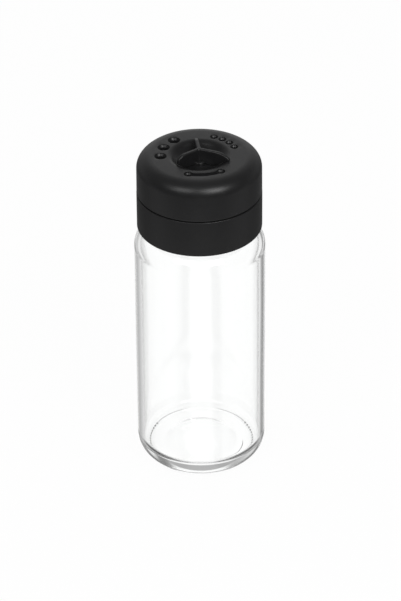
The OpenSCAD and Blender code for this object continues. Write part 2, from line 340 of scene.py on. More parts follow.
@dataclass(frozen=True)
class Thread:
    """The rounded ridge of a screw thread, whose ends run out over an angle of fade degrees."""

    name: str
    turns: float
    first: float  # angle at which it starts, in degrees
    low: float
    wall: float  # radius of the wall that carries it
    crest: float
    pitch: float = 4.0
    sunk: float = 0.4
    root_share: float = 0.55
    crest_share: float = 0.25
    crown: float = 0.04
    fade: float = 40.0
    least: float = 0.02
    steps: int = 96

    def build(self) -> Piece:
        """Sweeps the ridge.

        Returns:
            The closed solid.
        """
        root = self.wall - copysign(self.sunk, self.crest - self.wall)
        tall, foot, top = self.crest - root, self.root_share * self.pitch / 2, self.crest_share * self.pitch / 2
        mesh = bmesh.new()
        rings = []
        for i in range(int(self.turns * self.steps) + 1):
            turned = 360 * i / self.steps
            reach = min(1.0, turned / self.fade, (self.turns * 360 - turned) / self.fade)
            tip = root + tall * max(sin(reach * pi / 2), self.least)
            shape = [(root, -foot), (tip, -top), (tip + tall * self.crown, 0), (tip, top), (root, foot)]
            angle = radians(self.first + turned)
            height = self.low + self.pitch * turned / 360
            rings.append([mesh.verts.new((r * cos(angle), r * sin(angle), height + z)) for r, z in shape])
        skin(mesh, rings, len(rings[0]))
        mesh.faces.new(rings[0])
        mesh.faces.new(rings[-1])
        return link(self.name, mesh)


# ---- Node trees and finishes ----


@dataclass
class Tree:
    """A node tree that is built call by call."""

    tree: bpy.types.NodeTree

    def feed(self, node: bpy.types.Node, inputs: Inputs) -> bpy.types.Node:
        """Sets or links the inputs of a node.

        Args:
            node: The node.
            inputs: A value or an output socket for each input, by its name or its number.

        Returns:
            The node.
        """
        for name, value in inputs.items():
            if isinstance(value, Socket):
                self.tree.links.new(value, node.inputs[name])
            else:
                node.inputs[name].default_value = value
        return node

    def add(self, kind: str, inputs: Inputs | None = None, **settings: object) -> bpy.types.Node:
        """Adds a node.

        Args:
            kind: The node's type.
            inputs: A value or an output socket for each input, by its name or its number.
            **settings: Values of the node's own properties.

        Returns:
            The new node.
        """
        node = self.tree.nodes.new(kind)
        for name, value in settings.items():
            setattr(node, name, value)
        return self.feed(node, inputs or {})

    def out(self, kind: str, inputs: Inputs | None = None, **settings: object) -> Socket:
        """Adds a node and returns its first output."""
        return self.add(kind, inputs, **settings).outputs[0]

    def math(self, operation: str, *values: object) -> Socket:
        """Adds a Math node and returns its output."""
        return self.out("ShaderNodeMath", dict(enumerate(values)), operation=operation)

    def times(self, *values: object) -> Socket:
        """Multiplies numbers and returns the product."""
        return reduce(lambda a, b: self.math("MULTIPLY", a, b), values)

    def scale(self, vector: object, factor: object) -> Socket:
        """Scales a vector or colour and returns the result."""
        return self.out("ShaderNodeVectorMath", {0: vector, "Scale": factor}, operation="SCALE")

    def mix(self, factor: object, low: object, high: object) -> Socket:
        """Mixes two numbers by a factor and returns the result."""
        return self.out("ShaderNodeMix", {0: factor, 2: low, 3: high}, data_type="FLOAT")

    def shaders(self, factor: object, first: Socket, second: Socket) -> Socket:
        """Mixes two shaders by a factor and returns the result."""
        return self.out("ShaderNodeMixShader", {0: factor, 1: first, 2: second})

    def grey(self, value: Socket) -> Socket:
        """Makes a grey of a number and returns it."""
        return self.out("ShaderNodeCombineXYZ", {0: value, 1: value, 2: value})

    def noise(self, place: Socket, scale: object, detail: float) -> Socket:
        """Adds a noise and returns its value."""
        return self.out("ShaderNodeTexNoise", {"Vector": place, "Scale": scale, "Detail": detail})

    def step(self, value: object, start: float, end: float) -> Socket:
        """Rises smoothly from 0, where a value is at the start, to 1 at the end, and returns that number."""
        return self.out("ShaderNodeMapRange", {0: value, 1: start, 2: end, 3: 0.0, 4: 1.0},
                        interpolation_type="SMOOTHSTEP")

    def ramp(self, factor: object, stops: Stops) -> Socket:
        """Adds a curve of straight stretches.

        Args:
            factor: What drives it, from 0 to 1.
            stops: Its positions and values.

        Returns:
            The curve's value.
        """
        node = self.add("ShaderNodeFloatCurve", {"Value": factor})
        mapping = node.mapping
        mapping.clip_max_y = 2.0
        points = mapping.curves[0].points
        while len(points) < len(stops):
            points.new(0.5, 0.5)
        for point, stop in zip(points, stops):
            point.location = stop
            point.handle_type = "VECTOR"
        mapping.update()
        return node.outputs[0]


@dataclass(frozen=True)
class BaseMarks:
    """What the mould leaves under the base, in millimetres: two rows of short radial marks and two fine lines.
    The marks are pressed into the glass and also darkened with painted shade; the two lines are painted shade alone,
    with no relief.

    line_share and fold_turn give the middle, the half width and the soft edge of the two lines: the line behind
    as shares of the way from the axis that lead sideways, and the fold in degrees.
    """

    count: int = 72
    ring: float = 19.3
    length: float = 1.2
    duty: Point = (0.0, 0.4)
    rows: Point = (0.78, 0.9)
    line: float = 0.4
    # how dark the painted shade of the line behind is
    line_painted_shade: float = 0.7
    line_share: Triple = (0.58, 0.34, 0.16)
    fold: float = 15.4
    fold_shift: Point = (0.9, 0.5)
    fold_turn: Triple = (-49.0, 54.0, 16.0)
    # how dark the painted shade of the fold line is
    fold_painted_shade: float = 0.85
    top: float = 3.0

    def polar(self, tree: Tree, place: Socket) -> tuple[Socket, ...]:
        """Splits a position.

        Args:
            tree: The nodes that the new ones join.
            place: The position, in metres.

        Returns:
            Distance from the axis, angle, sideways share of that distance, and y and z.
        """
        x, y, z = tree.add("ShaderNodeSeparateXYZ", {0: place}).outputs[:3]
        radius = tree.math("SQRT", tree.math("ADD", tree.times(x, x), tree.times(y, y)))
        sideways = tree.math("DIVIDE", tree.math("ABSOLUTE", x), tree.math("MAXIMUM", radius, POLE))
        return radius, tree.math("ARCTAN2", y, x), sideways, y, z

    def band(self, tree: Tree, value: Socket, middle: float, half: float, soft: float) -> Socket:
        """1 where a value is near the middle, 0 where it is further away than half, soft between them."""
        away = tree.math("ABSOLUTE", tree.math("SUBTRACT", value, middle))
        return tree.step(away, half, half - soft)

    def dots(self, tree: Tree, place: Socket) -> Socket:
        """Nodes that tell the short marks from the rest.

        Args:
            tree: The shader or geometry nodes that they join.
            place: The position, in metres.

        Returns:
            A number that is 1 in the middle of a mark and 0 between the marks.
        """
        radius, angle, sideways, _, z = self.polar(tree, place)
        wave = tree.math("COSINE", tree.times(angle, float(self.count)))
        row = self.band(tree, radius, self.ring * MM, self.length / 2 * MM, self.length / 6 * MM)
        return tree.times(tree.step(wave, *self.duty), row, tree.step(sideways, *self.rows),
                          tree.math("LESS_THAN", z, self.top * MM))

    def shade(self, tree: Tree, place: Socket) -> Socket:
        """Nodes for the painted shade of the marks and the fine lines: how much they dim the light that passes the
        glass there.

        Args:
            tree: The shader nodes that they join.
            place: The position, in metres.

        Returns:
            A number from 0, clear, to 1.
        """
        radius, _, sideways, y, z = self.polar(tree, place)
        half = self.line / 2 * MM
        line = tree.times(self.band(tree, radius, self.ring * MM, half, half / 2),
                          self.band(tree, sideways, *self.line_share), tree.math("GREATER_THAN", y, 0.0),
                          self.line_painted_shade)
        shift = tuple(v * MM for v in (*self.fold_shift, 0))
        away, angle, *_ = self.polar(tree, tree.out("ShaderNodeVectorMath", {0: place, 1: shift}))
        fold = tree.times(self.band(tree, away, self.fold * MM, half, half / 2),
                          self.band(tree, angle, *map(radians, self.fold_turn)), self.fold_painted_shade)
        lines = tree.times(tree.math("MAXIMUM", line, fold), tree.math("LESS_THAN", z, self.top * MM))
        return tree.math("MAXIMUM", lines, self.dots(tree, place))


BASE_MARKS = BaseMarks()


def moulded_grain() -> bpy.types.NodeTree:
    """Shader group for a moulded skin: fine grain, slow waviness and faint scuffs.

    Returns:
        The group, with outputs Height, Roughness and Tint.
    """
    group = bpy.data.node_groups.get("moulded_grain")
    if group:
        return group
    group = bpy.data.node_groups.new("moulded_grain", "ShaderNodeTree")
    for name in ("Grain Scale", "Wave Scale", "Wave Share", "Roughness", "Roughness Spread", "Tint Spread"):
        group.interface.new_socket(name, in_out="INPUT", socket_type="NodeSocketFloat")
    for name in ("Height", "Roughness", "Tint"):
        group.interface.new_socket(name, in_out="OUTPUT", socket_type="NodeSocketFloat")
    tree = Tree(group)
    given = tree.add("NodeGroupInput").outputs
    place = tree.add("ShaderNodeTexCoord").outputs["Object"]
    grain = tree.noise(place, given["Grain Scale"], 3.0)
    wave = tree.noise(place, given["Wave Scale"], 2.0)
    scuff = tree.noise(place, SCUFF_SCALE, 5.0)
    swing = tree.math("SUBTRACT", tree.mix(0.5, scuff, wave), 0.5)
    tree.add("NodeGroupOutput", {
        "Height": tree.mix(given["Wave Share"], grain, wave),
        "Roughness": tree.math("MULTIPLY_ADD", swing, tree.times(given["Roughness Spread"], SCUFF_GAIN),
                               given["Roughness"]),
        "Tint": tree.math("MULTIPLY_ADD", swing, given["Tint Spread"], 1.0)})
    return group


def new_material(name: str) -> tuple[bpy.types.Material, Tree, bpy.types.Node]:
    """Makes a material.

    Args:
        name: Its name.

    Returns:
        The material, its node tree and its Principled node.
    """
    material = bpy.data.materials.new(name)
    material.use_nodes = True
    return material, Tree(material.node_tree), material.node_tree.nodes["Principled BSDF"]


@dataclass(frozen=True)
class MouldedPlastic:
    """Satin black moulded plastic, or another moulded skin without metal."""

    name: str
    colour: Triple
    roughness: float
    roughness_spread: float = 0.05
    tint_spread: float = 0.2
    grain_scale: float = 5200.0
    wave_scale: float = 110.0
    wave_share: float = 0.35
    depth: float = 0.00002

    def build(self) -> bpy.types.Material:
        """Builds the material.

        Returns:
            The material.
        """
        material, tree, shader = new_material(self.name)
        grain = tree.add("ShaderNodeGroup", {
            "Grain Scale": self.grain_scale, "Wave Scale": self.wave_scale, "Wave Share": self.wave_share,
            "Roughness": self.roughness, "Roughness Spread": self.roughness_spread,
            "Tint Spread": self.tint_spread}, node_tree=moulded_grain()).outputs
        bump = tree.out("ShaderNodeBump", {"Height": grain["Height"], "Distance": self.depth, "Strength": 1.0})
        tree.feed(shader, {"Base Color": tree.scale(self.colour, grain["Tint"]), "Roughness": grain["Roughness"],
                           "Normal": bump})
        return material


@dataclass(frozen=True)
class ClearGlass:
    """Clear soda glass with the slight unevenness of a blown jar.

    Light that has turned back inside the glass a few times leaves it dimmed, so that no path ends in black.
    """

    name: str
    tint: Triple = (0.994, 0.998, 0.996)
    ior: float = 1.5
    ripple_scale: float = 55.0
    ripple_depth: float = 0.00006
    ripple_stretch: Triple = (1.0, 1.0, 0.35)
    last_turn: int = 3
    last_step: int = 10
    dim: float = 0.5
    marks: BaseMarks = BASE_MARKS
    # how much light passes at the marks and fine lines: painted shade
    mark_painted_shade: float = 0.03
    # painted shade: the glass colour darkens towards its silhouette, where the glass is seen edge on
    painted_edge_shade: float = 0.75
    painted_edge_facing: Point = (0.7, 0.86)

    def build(self) -> bpy.types.Material:
        """Builds the material.

        Returns:
            The material.
        """
        material, tree, shader = new_material(self.name)
        place = tree.add("ShaderNodeTexCoord").outputs["Object"]
        # painted shade along the silhouette: Layer Weight facing darkens the base colour at grazing angles
        facing = tree.add("ShaderNodeLayerWeight", {"Blend": 0.5}).outputs["Facing"]
        edge = tree.mix(tree.step(facing, *self.painted_edge_facing), 1.0, self.painted_edge_shade)
        stretched = tree.out("ShaderNodeMapping", {"Vector": place, "Scale": self.ripple_stretch})
        bump = tree.out("ShaderNodeBump", {"Height": tree.noise(stretched, self.ripple_scale, 1.0),
                                           "Distance": self.ripple_depth})
        tree.feed(shader, {"Roughness": 0.0, "IOR": self.ior, "Transmission Weight": 1.0,
                           "Base Color": tree.scale(self.tint, edge), "Normal": bump})
        path = tree.add("ShaderNodeLightPath").outputs
        spent = tree.math("MAXIMUM", tree.math("GREATER_THAN", path["Glossy Depth"], self.last_turn - 0.5),
                          tree.math("GREATER_THAN", path["Ray Depth"], self.last_step - 0.5))
        # painted shade for the marks and fine lines under the base: there the glass gives way to a nearly black
        # transparent surface
        shade = self.marks.shade(tree, place)
        through = tree.out("ShaderNodeBsdfTransparent", {
            "Color": tree.grey(tree.mix(shade, self.dim, self.mark_painted_shade))})
        inside = tree.shaders(tree.math("MAXIMUM", spent, shade), shader.outputs[0], through)
        mixed = tree.shaders(path["Is Singular Ray"], shader.outputs[0], inside)
        tree.feed(material.node_tree.nodes["Material Output"], {0: mixed})
        return material


@dataclass(frozen=True)
class BrushedSteel:
    """Bright stainless sheet with fine drawn lines."""

    name: str
    colour: Triple = (0.6, 0.61, 0.62)
    roughness: float = 0.28
    roughness_spread: float = 0.12
    draw: Triple = (1.0, 12.0, 12.0)
    line_scale: float = 900.0
    depth: float = 0.00001

    def build(self) -> bpy.types.Material:
        """Builds the material.

        Returns:
            The material.
        """
        material, tree, shader = new_material(self.name)
        place = tree.add("ShaderNodeTexCoord").outputs["Object"]
        lines = tree.noise(tree.out("ShaderNodeMapping", {"Vector": place, "Scale": self.draw}),
                           self.line_scale, 4.0)
        tree.feed(shader, {
            "Base Color": (*self.colour, 1), "Metallic": 1.0,
            "Roughness": tree.math("MULTIPLY_ADD", lines, self.roughness_spread, self.roughness),
            "Normal": tree.out("ShaderNodeBump", {"Height": lines, "Distance": self.depth})})
        return material


Finish = MouldedPlastic | ClearGlass | BrushedSteel

CAP_BLACK = MouldedPlastic("satin_black_cap", (0.011, 0.011, 0.0115), 0.36)
COLLAR_BLACK = MouldedPlastic("satin_black_collar", (0.012, 0.012, 0.0125), 0.4, grain_scale=4600.0)
KNOB_BLACK = MouldedPlastic("satin_black_knob", (0.011, 0.011, 0.0115), 0.34, grain_scale=5600.0)
SHUTTER_BLACK = MouldedPlastic("black_shutter", (0.014, 0.014, 0.015), 0.42)
SEAL_BLACK = MouldedPlastic("soft_black_seal", (0.016, 0.016, 0.017), 0.6, depth=0.00001)
LINER_FOAM = MouldedPlastic("pale_foam_liner", (0.72, 0.72, 0.7), 0.7, tint_spread=0.08,
                            grain_scale=3000.0, depth=0.00004)
JAR_GLASS = ClearGlass("clear_glass")
CLIP_STEEL = BrushedSteel("bright_clip")


def material_of(finish: Finish) -> bpy.types.Material:
    """The material of a finish, which is built once."""
    return bpy.data.materials.get(finish.name) or finish.build()


def mount(piece: Piece, finish: Finish, body: Body, node: str) -> None:
    """Dresses a piece and puts it in the place of a node, on its body and with its material slot.

    Args:
        piece: The finished piece.
        finish: Its finish.
        body: The body that it rides on.
        node: The node that it replaces.
    """
    piece.data.materials.clear()
    piece.data.materials.append(material_of(finish))
    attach(piece, body.value)
    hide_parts(node)
    log.info("%s rides on %s: %d faces", piece.name, body.value, len(piece.data.polygons))


# ---- Glass jar ----


@dataclass
class GlassJar:
    """The jar: push-up base, marked heel, straight side, shoulder and threaded neck."""

    wall: float = 2.2
    base: float = 5.6
    push_up: float = 1.6
    heel: Point = (7.0, 8.25)
    bearing: float = 2.6
    inner_heel: Point = (2.8, 3.5)
    tie: float = 0.4
    shoulder: float = 8.5
    neck: float = 18.0
    neck_wall: float = 2.2
    neck_height: float = 11.25
    rim_round: float = 0.5
    thread_depth: float = 1.2
    thread_turns: float = 1.5
    thread_start: float = 3.15
    mark_depth: float = 0.15
    segments: int = 504
    radius: float = field(init=False)
    height: float = field(init=False)

    def __post_init__(self) -> None:
        """Takes the jar's outer size from its node."""
        self.radius, _, self.height = node_mm("glass_jar")[1]

    def section(self) -> Section:
        """The jar's closed section.

        Returns:
            The points, from the push-up outwards and round to the inside of the base.
        """
        wide, inner = self.radius, self.radius - self.wall
        bearing_r = wide - self.heel[0]
        mouth = self.neck - self.neck_wall
        turn = wide - self.shoulder
        inner_turn = self.shoulder - self.wall
        shoulder_z = self.height - self.neck_height - sqrt(self.shoulder ** 2 - (self.neck - turn) ** 2)
        floor_r = inner - self.inner_heel[0]
        inner_z = self.base + self.inner_heel[1]
        rim_z = self.height - self.rim_round
        return [
            *dome(bearing_r - self.bearing, self.push_up, 0),
            *arc((bearing_r, self.heel[1]), self.heel, -90, 0, 44),
            (wide, self.heel[1] + self.tie), (wide, shoulder_z - self.tie),
            *arc((turn, shoulder_z), self.shoulder, 0, degrees(acos((self.neck - turn) / self.shoulder)), 20),
            *arc((self.neck - self.rim_round, rim_z), self.rim_round, 0, 90, 6),
            *arc((mouth + self.rim_round, rim_z), self.rim_round, 90, 180, 6),
            *arc((turn, shoulder_z), inner_turn, degrees(acos((mouth - turn) / inner_turn)), 0, 16),
            (inner, shoulder_z - self.tie), (inner, inner_z + self.tie),
            *arc((floor_r, inner_z), self.inner_heel, 0, -90, 24),
            *reversed(dome(floor_r, self.push_up, self.base)),
        ]

    def mark_tree(self) -> bpy.types.NodeTree:
        """Geometry nodes that press a ring of short radial marks into the heel.

        Returns:
            The node group, with the inputs Geometry, Depth and Finish.
        """
        group = bpy.data.node_groups.new("heel_marks", "GeometryNodeTree")
        for name, kind in (("Geometry", "NodeSocketGeometry"), ("Depth", "NodeSocketFloat"),
                           ("Finish", "NodeSocketMaterial")):
            group.interface.new_socket(name, in_out="INPUT", socket_type=kind)
        group.interface.new_socket("Geometry", in_out="OUTPUT", socket_type="NodeSocketGeometry")
        tree = Tree(group)
        given = tree.add("NodeGroupInput").outputs
        mask = BASE_MARKS.dots(tree, tree.out("GeometryNodeInputPosition"))
        offset = tree.scale(tree.out("GeometryNodeInputNormal"), tree.times(mask, given["Depth"]))
        moved = tree.out("GeometryNodeSetPosition", {"Geometry": given["Geometry"], "Offset": offset})
        real = tree.out("GeometryNodeRealizeInstances", {0: moved})
        dressed = tree.out("GeometryNodeSetMaterial", {"Geometry": real, "Material": given["Finish"]})
        tree.add("NodeGroupOutput", {0: dressed})
        return group

    def build(self) -> None:
        """Builds the jar and puts it in place."""
        jar = revolve("glass_jar_body", self.section(), self.segments)
        apply_nodes(jar, self.mark_tree(), {"Depth": -self.mark_depth * MM, "Finish": material_of(JAR_GLASS)})
        thread = Thread("jar_thread", self.thread_turns, 0, self.height - self.neck_height + self.thread_start,
                        self.neck, self.neck + self.thread_depth)
        combine(jar, [thread.build()], Cut.ADD)
        mount(jar, JAR_GLASS, Body.JAR, "glass_jar")


# ---- Cap assembly ----


@dataclass
class SealingLiner:
    """The soft ring between the rim and the collar."""

    edge: float = 0.2

    def build(self) -> None:
        """Builds the liner and puts it in place."""
        low, high = node_mm("jar_liner")
        section = ring_section(ScrewCollar().throat, high.x, low.z, high.z, self.edge)
        mount(revolve("sealing_liner", section), LINER_FOAM, Body.LINER, "jar_liner")


@dataclass
class ScrewCollar:
    """The lower black ring: threaded skirt, deck and the ring that holds the cap."""

    skirt: float = 19.5
    throat: float = 15.2
    deck: Point = (106.2, 107.7)
    deck_fillet: Point = (0.4, 0.5)
    spigot: Point = (17.65, 20.05)
    spigot_round: float = 0.25
    bead: float = 0.35
    bead_z: float = 110.35
    edge: float = 0.3
    foot: float = 0.35
    seam_round: float = 0.25
    seam: float = 107.9
    thread_z: float = 96.9
    thread_tip: float = 18.3

    def build(self) -> None:
        """Builds the collar and puts it in place."""
        low, high = node_mm("screw_collar")
        inside, outside = self.spigot
        under, deck = self.deck
        lip_z = high.z - self.spigot_round
        section = [
            *arc((self.skirt + self.edge, low.z + self.edge), self.edge, 180, 270, 5),
            *arc((high.x - self.foot, low.z + self.foot), self.foot, -90, 0, 10),
            *arc((high.x - self.seam_round, self.seam - self.seam_round), self.seam_round, 0, 90, 6),
            (outside, self.seam),
            *arc((outside, self.bead_z), self.bead, -90, 90, 10),
            *arc((outside - self.spigot_round, lip_z), self.spigot_round, 0, 90, 4),
            *arc((inside + self.spigot_round, lip_z), self.spigot_round, 90, 180, 4),
            *fillet((inside, high.z), (inside, deck), (self.throat, deck), self.deck_fillet[1]),
            *arc((self.throat + self.edge, deck - self.edge), self.edge, 90, 180, 5),
            (self.throat, under),
            *fillet((self.throat, under), (self.skirt, under), (self.skirt, low.z), self.deck_fillet[0]),
        ]
        collar = revolve("screw_collar_ring", section, 256)
        thread = Thread("collar_thread", 1.0, 180, self.thread_z, self.skirt, self.thread_tip)
        combine(collar, [thread.build()], Cut.ADD)
        mount(collar, COLLAR_BLACK, Body.CAP, "screw_collar")


@dataclass(frozen=True)
class DishShape:
    """The finger dish: a rounded lip, a steep side and a bowl, all of one smooth section."""

    radius: float = 11.3
    depth: float = 2.8
    lip: float = 3.0
    slope: float = 44.0

    @property
    def bowl(self) -> float:
        """Radius of the bowl."""
        return self.depth / (1 - cos(radians(self.slope))) - self.lip

    @property
    def centre(self) -> Point:
        """Centre of the bowl's arc."""
        reach, slope = self.lip + self.bowl, radians(self.slope)
        return self.radius - reach * sin(slope), plate_mm() + (-self.lip + reach * cos(slope))

    def curve(self, lower: float, steps: int = 18) -> Section:
        """The dish's section from the axis to its lip.

        Args:
            lower: How far the section lies below the dish, along its normal.
            steps: Number of pieces in each arc.

        Returns:
            The points from the axis outwards.
        """
        x, z = self.centre
        bowl = self.bowl + lower
        return [(0, z - bowl), *arc((x, z), bowl, -90, self.slope - 90, steps),
                *arc((self.radius, plate_mm() - self.lip), self.lip - lower, 90 + self.slope, 90, steps)]

    def bowl_curve(self, lower: float, top: float, steps: int = 18) -> Section:
        """The section of the bowl alone, from the axis up to a height.

        Args:
            lower: How far the section lies below the bowl, along its normal.
            top: Height where it ends.
            steps: Number of pieces.

        Returns:
            The points from the axis outwards.
        """
        x, z = self.centre
        bowl = self.bowl + lower
        return [(0, z - bowl), *arc((x, z), bowl, -90, degrees(asin((top - z) / bowl)), steps)]

    def height(self, radius: float, lower: float) -> float:
        """Height of the dish at a distance from the axis.

        Args:
            radius: The distance.
            lower: How far below the dish, along its normal.

        Returns:
            The height.
        """
        x, z = self.centre
        lip, bowl = self.lip - lower, self.bowl + lower
        if radius <= x:
            return z - bowl
        if radius <= x + bowl * sin(radians(self.slope)):
            return z - sqrt(bowl ** 2 - (radius - x) ** 2)
        if radius < self.radius:
            return plate_mm() - self.lip + sqrt(max(lip ** 2 - (self.radius - radius) ** 2, 0))
        return plate_mm() - lower


@dataclass(frozen=True)
class ArcSlot:
    """A curved opening about the axis with round ends that are wider than its middle."""

    ring: float
    width: float
    end: float
    middle: float
    half: float

    def outline(self, grow: float = 0.0, steps: int = 14) -> Section:
        """The opening's outline.

        Args:
            grow: How far it is widened all round.
            steps: Number of pieces in each arc.

        Returns:
            The points, counter-clockwise.
        """
        half_w, end = self.width / 2 + grow, self.end / 2 + grow
        points: Section = []

        def meet(radius: float) -> float:
            """Angle between an end's centre and the point where it meets a side, in degrees."""
            return degrees(acos((self.ring ** 2 + radius ** 2 - end ** 2) / (2 * self.ring * radius)))

        for side in (1, -1):
            near, far = self.ring + side * half_w, self.ring - side * half_w
            at = radians(self.middle + side * self.half)
            centre = Vector((self.ring * cos(at), self.ring * sin(at)))
            reach = side * (self.half - meet(near))
            points += arc((0, 0), near, self.middle - reach, self.middle + reach, 2 * steps)
            start = Vector(points[-1]) - centre
            goal = radians(self.middle + side * (self.half - meet(far)))
            stop = Vector((far * cos(goal), far * sin(goal))) - centre
            begin = degrees(atan2(start.y, start.x))
            sweep = (degrees(atan2(stop.y, stop.x)) - begin) % 360
            points += arc(tuple(centre), end, begin, begin + sweep, steps)[1:-1]
        return points

    def cutter(self, name: str, low: float, top: float, edge: HoleEdge) -> Piece:
        """A solid that cuts the opening from a height below the plate up to the plate, and narrows as its edge."""
        return stack(name, [[Vector((x, y, z)) for x, y in self.outline(grow)]
                            for grow, z in edge.profile(low, top)])


POURING_SLOT = ArcSlot(13.35, 2.0, 2.1, -81.3, 24.8)
SHUTTER_WINDOW = ArcSlot(13.3, 3.7, 4.0, -15.0, 23.5)


@dataclass(frozen=True)
class HoleGroup:
    """A row of round holes on one circle."""

    diameter: float
    first: float
    step: float
    count: int
    edge: HoleEdge
    ring: float = 13.3

    def cutters(self, low: float, top: float) -> list[Piece]:
        """Solids that cut the holes.

        Args:
            low: Height below the plate where they start.
            top: Height of the plate.

        Returns:
            One solid for each hole.
        """
        edge = [(self.diameter / 2 + grow, z) for grow, z in self.edge.profile(low, top)]
        solids = []
        for i in range(self.count):
            at = radians(self.first + i * self.step)
            solids.append(revolve(f"hole_{i}", [(0, low), *edge, (0, edge[-1][1])], 48))
            solids[-1].data.transform(Matrix.Translation(
                Vector((self.ring * cos(at), self.ring * sin(at), 0)) * MM))
        return solids


@dataclass
class DispenserCap:
    """The upper black shell with the finger dish, the two rows of holes and the pouring slot."""

    wall: float = 1.6
    draft: float = 0.05
    edge: Point = (5.5, 4.8)
    edge_steps: int = 40
    foot: float = 0.6
    bore: float = 2.68
    guide: Point = (16.7, 17.9)
    guide_low: float = 118.1
    groove: float = 0.45
    dish: DishShape = DishShape()
    holes: tuple[HoleGroup, ...] = (HoleGroup(4.2, 130.5, 26.25, 3, HoleEdge(0.25, 0.7, 0.5)),
                                    HoleGroup(2.7, 23.5, 14.4, 4, HoleEdge(0.25, 0.5, 0.4)))
    slot_edge: HoleEdge = HoleEdge(0.5, 0.5, 0.12)
    slot_ends: HoleGroup = HoleGroup(3.0, -106.1, 49.6, 2, HoleEdge(0.4, 0.6, 0.38), 13.35)

    def section(self, low: float, radius: float) -> Section:
        """The shell's closed section.

        Args:
            low: Height of the shell's lower edge.
            radius: Its outer radius at the lower edge.

        Returns:
            The points, from the bore round the inside and back over the top.
        """
        near, far = self.guide
        inside = radius - self.wall - self.draft
        corner = (radius - self.draft - self.edge[0], plate_mm() - self.edge[1])
        rise = arc(corner, (self.edge[0] - self.wall, self.edge[1] - self.wall), 90, 0, self.edge_steps)
        before, after = [p for p in rise if p[0] < near], [p for p in rise if p[0] > far]
        under, over = ([(self.bore, self.dish.height(self.bore, lower)),
                        *[p for p in self.dish.curve(lower) if p[0] > self.bore]]
                       for lower in (self.wall, 0.0))
        return [
            *under, *before, (near, before[-1][1]), (near, self.guide_low),
            (far, self.guide_low), (far, after[0][1]), *after,
            *arc((inside, ScrewCollar().bead_z), self.groove, 90, -90, 10), (inside, low),
            *arc((radius - self.foot, low + self.foot), self.foot, -90, 0, 10),
            *arc(corner, self.edge, 0, 90, self.edge_steps), *reversed(over),
        ]

    def build(self) -> None:
        """Builds the cap and puts it in place."""
        low, high = node_mm("dispenser_cap")
        cap = revolve("dispenser_cap_shell", self.section(low.z, high.x), 288)
        under = high.z - self.wall - PAST
        for group in (*self.holes, self.slot_ends):
            combine(cap, group.cutters(under, high.z), Cut.REMOVE)
        combine(cap, [POURING_SLOT.cutter("slot_cutter", under, high.z, self.slot_edge)], Cut.REMOVE)
        mount(cap, CAP_BLACK, Body.CAP, "dispenser_cap")


# ---- Selector: knob, shutter, seal and clip ----


@dataclass(frozen=True)
class Wing:
    """One wing: the radius at which it ends, and where its crest starts to fall and would end."""

    tip: float
    level: float
    end: float

    def crest(self, radius: float, low: float, top: float) -> float:
        """Height of the crest at a distance from the axis, which falls from top towards low."""
        share = min(max(radius - self.level, 0) / (self.end - self.level), 1.0)
        return low + (top - low) * sqrt(1 - share ** 2)


